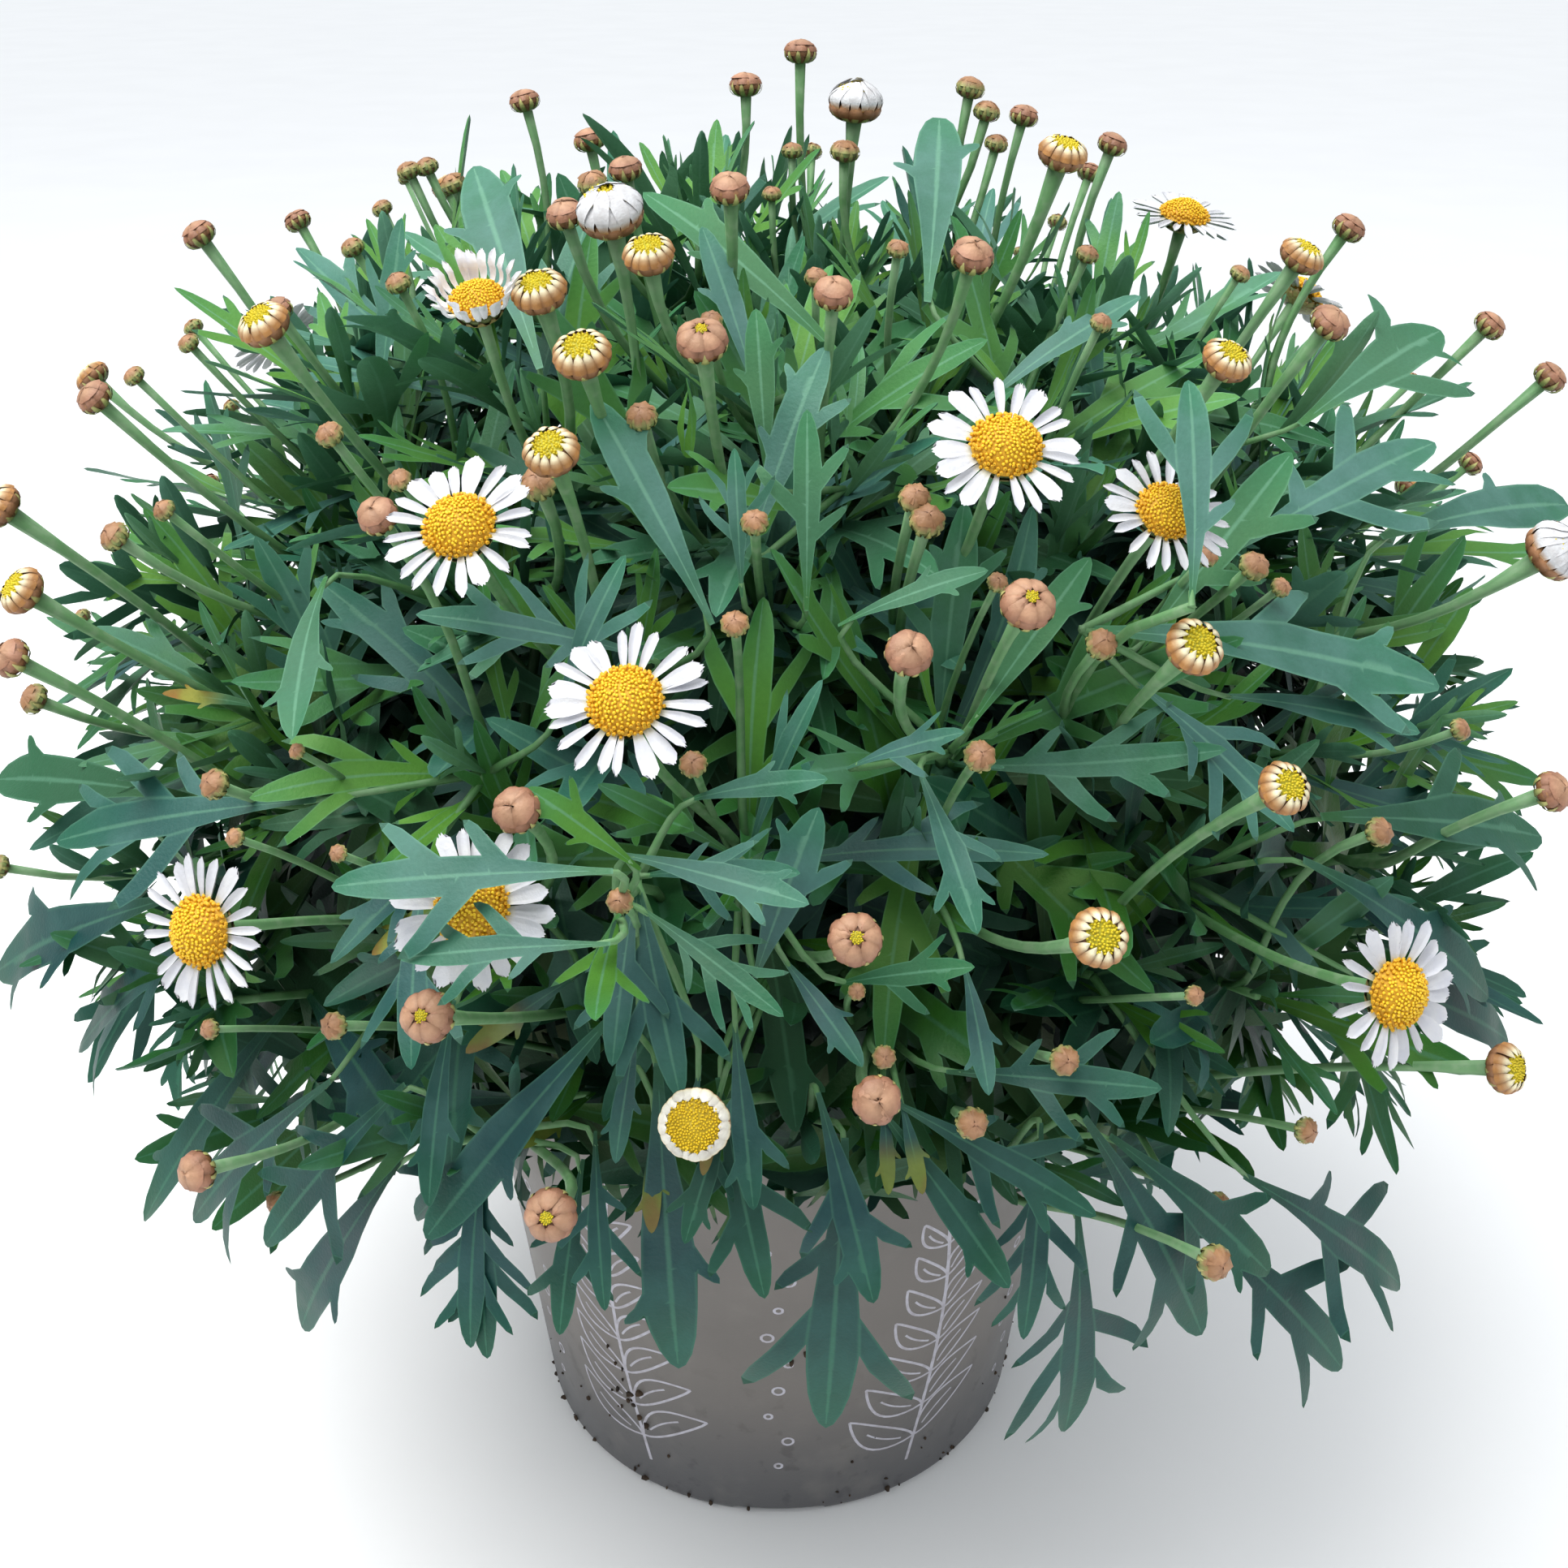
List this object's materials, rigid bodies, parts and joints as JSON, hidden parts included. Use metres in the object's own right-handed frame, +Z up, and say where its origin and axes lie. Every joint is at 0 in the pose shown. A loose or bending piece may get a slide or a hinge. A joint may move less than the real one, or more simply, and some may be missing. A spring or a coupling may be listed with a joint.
{
  "type": "potted marguerite daisy",
  "caption": "Marguerite daisy bush in a tapered round nursery pot: a dense dome of lobed blue-green leaves with white, yellow-centred flowers and stalked buds",
  "frame": {"origin": "the middle of the pot's underside, on the surface that it stands on", "axes": "+Z up along the pot's axis; -Y towards the viewer of the picture; +X to that viewer's right"},
  "size_m": [0.4137, 0.4572, 0.4189],
  "materials": {
    "pot_plastic": "taupe grey-brown moulded plastic, satin, with a pale printed leaf pattern and specks of soil",
    "potting_soil": "dark brown peat and bark potting soil, rough and crumbly",
    "foliage": "blue-green lobed leaves with a pale midrib, paler green ribbed stalks",
    "white_rays": "white ray petals, finely grooved, matte",
    "yellow_disc": "golden yellow disc of small packed florets"
  },
  "bodies": {
    "root": {"pot": "pot_plastic", "soil": "potting_soil", "branch_01": "foliage", "branch_02": "foliage", "branch_03": "foliage", "branch_04": "foliage", "branch_05": "foliage", "branch_06": "foliage", "branch_07": "foliage", "branch_08": "foliage", "branch_09": "foliage", "branch_10": "foliage", "branch_11": "foliage", "branch_12": "foliage", "branch_13": "foliage", "branch_14": "foliage", "branch_15": "foliage", "branch_16": "foliage", "branch_17": "foliage", "branch_18": "foliage", "branch_19": "foliage", "branch_20": "foliage", "branch_21": "foliage", "branch_22": "foliage", "branch_23": "foliage", "branch_24": "foliage", "rays_01": "white_rays", "disc_01": "yellow_disc", "rays_02": "white_rays", "disc_02": "yellow_disc", "rays_03": "white_rays", "disc_03": "yellow_disc", "rays_04": "white_rays", "disc_04": "yellow_disc", "rays_05": "white_rays", "disc_05": "yellow_disc", "rays_06": "white_rays", "disc_06": "yellow_disc", "rays_07": "white_rays", "disc_07": "yellow_disc", "rays_08": "white_rays", "disc_08": "yellow_disc", "rays_09": "white_rays", "disc_09": "yellow_disc", "rays_10": "white_rays", "disc_10": "yellow_disc", "rays_11": "white_rays", "disc_11": "yellow_disc", "rays_12": "white_rays", "disc_12": "yellow_disc", "rays_13": "white_rays", "disc_13": "yellow_disc"}
  },
  "joints": []
}
